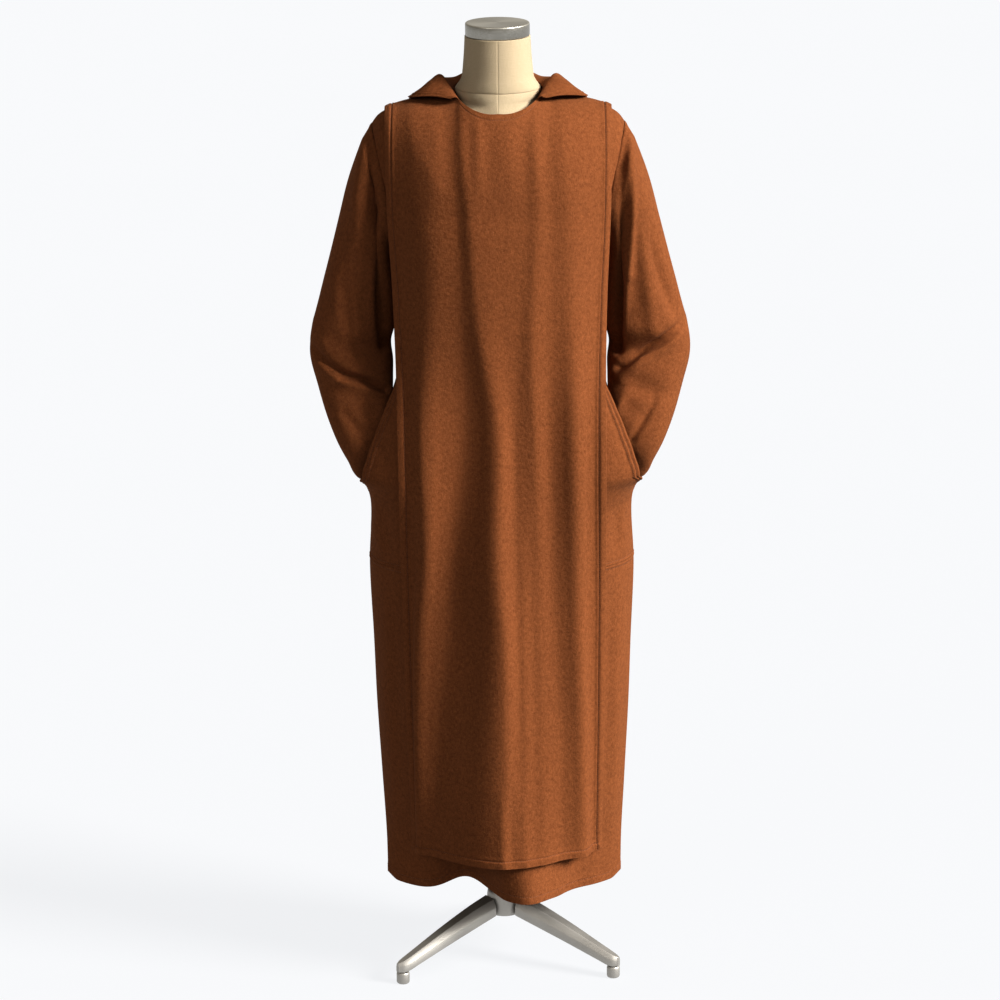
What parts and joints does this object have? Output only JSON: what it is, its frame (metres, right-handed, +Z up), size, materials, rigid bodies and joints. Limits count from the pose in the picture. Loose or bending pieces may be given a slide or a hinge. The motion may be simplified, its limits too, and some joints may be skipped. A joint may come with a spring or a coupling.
{
  "type": "monastic habit on a dress form",
  "caption": "Ankle-length wool habit with long sleeves tucked in side pockets, scapular and laid-back hood, worn by a limbless dress form on a three-legged stand.",
  "frame": {"origin": "middle of the bounding box on the floor, under the form", "axes": "+Z up through the neck, the front of the garment faces -Y, +X is the viewer's right from the front"},
  "size_m": [0.6536, 0.3918, 1.69],
  "materials": {
    "wool": "brown mottled wool flannel, matt",
    "linen": "cream linen over a firm form, matt",
    "cap_metal": "brushed round the side",
    "stand_metal": "satin cast metal"
  },
  "bodies": {
    "root": {"column": "stand_metal", "foot_left": "stand_metal", "foot_rear": "stand_metal", "foot_right": "stand_metal", "form_neck": "linen", "form_torso": "linen", "hood": "wool", "hub": "stand_metal", "leg_left": "stand_metal", "leg_rear": "stand_metal", "leg_right": "stand_metal", "neck_cap": "cap_metal", "pocket_bag_left": "wool", "pocket_bag_right": "wool", "pole": "stand_metal", "robe_back": "wool", "robe_front_skirt": "wool", "robe_front_upper": "wool", "scapular_back": "wool", "scapular_front": "wool", "sleeve_left": "wool", "sleeve_right": "wool"}
  },
  "joints": []
}
